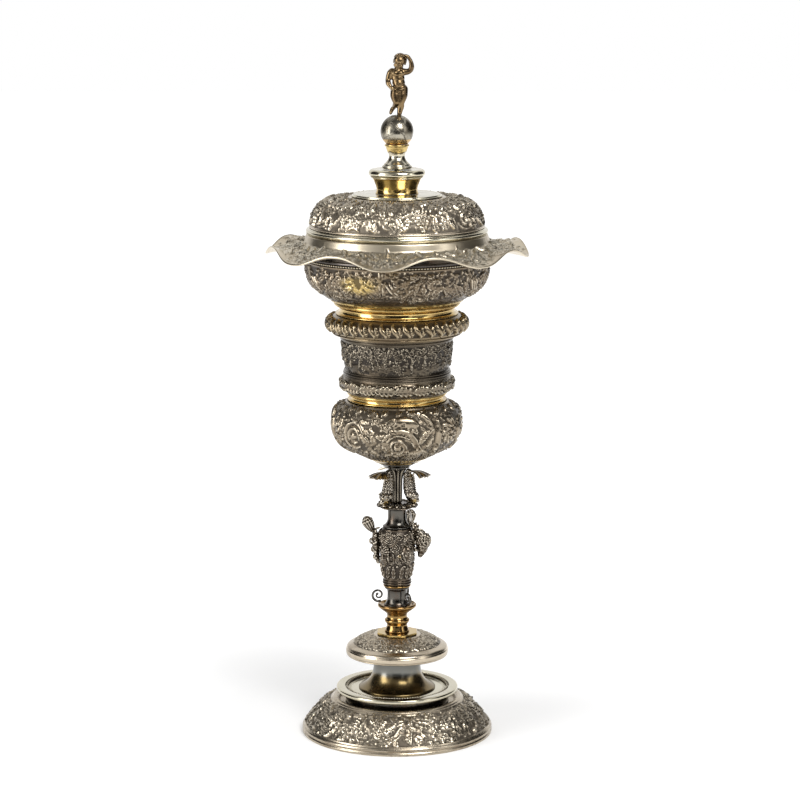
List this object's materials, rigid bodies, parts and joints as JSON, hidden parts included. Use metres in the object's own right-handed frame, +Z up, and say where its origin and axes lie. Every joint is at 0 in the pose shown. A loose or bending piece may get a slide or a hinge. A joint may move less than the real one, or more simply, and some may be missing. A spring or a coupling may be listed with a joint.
{
  "type": "standing cup with cover",
  "caption": "Tall covered standing cup: domed foot, baluster stem with dolphins, stacked chased bowl, wavy-brimmed lift-off cover and figure finial.",
  "frame": {"origin": "centre of the foot's base ring, on the surface the cup stands on", "axes": "+Z up along the cup's axis; the front, with the mask and the flower sprig of the brim, faces -Y"},
  "size_m": [0.175, 0.175, 0.46],
  "materials": {
    "baluster_neck": "dark oxidised cast silver",
    "barrel_shell": "chased silver, oxidised in the ground",
    "bowl_plate": "dark oxidised cast silver",
    "bowl_shell": "chased silver, oxidised in the ground",
    "bulb_shell": "chased silver, oxidised in the ground",
    "calyx_core": "dark oxidised cast silver",
    "cover_bezel": "polished silver, softly worn",
    "cover_brim": "polished silver, softly worn",
    "cover_dome": "chased silver, oxidised in the ground",
    "cover_moulding": "polished silver, softly worn",
    "dish_gallery": "dark oxidised cast silver",
    "dolphin_1": "dark oxidised cast silver",
    "dolphin_2": "dark oxidised cast silver",
    "dolphin_3": "dark oxidised cast silver",
    "dolphin_platform": "dark oxidised cast silver",
    "domed_disc": "chased silver, oxidised in the ground",
    "finial_ball": "polished silver, softly worn",
    "finial_baluster": "polished silver, softly worn",
    "finial_nut": "polished silver, softly worn",
    "finial_stud": "dark oxidised cast silver",
    "foot_dish": "polished silver, softly worn",
    "foot_drum": "dark oxidised cast silver",
    "foot_ring": "polished silver, softly worn",
    "knob_spool": "polished gilding",
    "leaf_torus": "chased silver, oxidised in the ground",
    "lower_baluster": "polished gilding",
    "lower_gilt_neck": "polished gilding",
    "putto": "dark gilt cast figure",
    "rim_beading": "polished silver, softly worn",
    "rod_nut_lower": "polished silver, softly worn",
    "rod_nut_upper": "polished silver, softly worn",
    "rod_washer": "polished silver, softly worn",
    "rope_torus": "chased silver, oxidised in the ground",
    "saucer_scroll_1": "dark oxidised cast silver",
    "saucer_scroll_2": "dark oxidised cast silver",
    "saucer_scroll_3": "dark oxidised cast silver",
    "stem_washer": "polished gilding",
    "tie_rod": "dark oxidised cast silver",
    "top_plate": "polished silver, softly worn",
    "trumpet_spool": "polished silver, softly worn",
    "upper_gilt_neck": "polished gilding",
    "upper_neck": "dark oxidised cast silver",
    "vase_bracket_back": "dark oxidised cast silver",
    "vase_bracket_left": "dark oxidised cast silver",
    "vase_cluster_right": "dark oxidised cast silver",
    "vase_fruit_left": "dark oxidised cast silver",
    "vase_knop": "dark oxidised cast silver",
    "vase_mask_back": "dark oxidised cast silver",
    "vase_mask_right": "dark oxidised cast silver",
    "vase_ring": "polished gilding"
  },
  "bodies": {
    "cup": {"baluster_neck": "baluster_neck", "barrel_shell": "barrel_shell", "bowl_plate": "bowl_plate", "bowl_shell": "bowl_shell", "bulb_shell": "bulb_shell", "calyx_core": "calyx_core", "dish_gallery": "dish_gallery", "dolphin_1": "dolphin_1", "dolphin_2": "dolphin_2", "dolphin_3": "dolphin_3", "dolphin_platform": "dolphin_platform", "domed_disc": "domed_disc", "foot_dish": "foot_dish", "foot_drum": "foot_drum", "foot_ring": "foot_ring", "leaf_torus": "leaf_torus", "lower_baluster": "lower_baluster", "lower_gilt_neck": "lower_gilt_neck", "rim_beading": "rim_beading", "rod_nut_lower": "rod_nut_lower", "rod_nut_upper": "rod_nut_upper", "rod_washer": "rod_washer", "rope_torus": "rope_torus", "saucer_scroll_1": "saucer_scroll_1", "saucer_scroll_2": "saucer_scroll_2", "saucer_scroll_3": "saucer_scroll_3", "stem_washer": "stem_washer", "tie_rod": "tie_rod", "trumpet_spool": "trumpet_spool", "upper_gilt_neck": "upper_gilt_neck", "upper_neck": "upper_neck", "vase_bracket_back": "vase_bracket_back", "vase_bracket_left": "vase_bracket_left", "vase_cluster_right": "vase_cluster_right", "vase_fruit_left": "vase_fruit_left", "vase_knop": "vase_knop", "vase_mask_back": "vase_mask_back", "vase_mask_right": "vase_mask_right", "vase_ring": "vase_ring"},
    "cover": {"cover_bezel": "cover_bezel", "cover_brim": "cover_brim", "cover_dome": "cover_dome", "cover_moulding": "cover_moulding", "finial_ball": "finial_ball", "finial_baluster": "finial_baluster", "finial_nut": "finial_nut", "finial_stud": "finial_stud", "knob_spool": "knob_spool", "putto": "putto", "top_plate": "top_plate"}
  },
  "joints": [
    {"name": "cover_lift", "type": "slide", "parent": "cup", "child": "cover", "axis": [0, 0, 1], "range_m": [0, 0.12]}
  ]
}
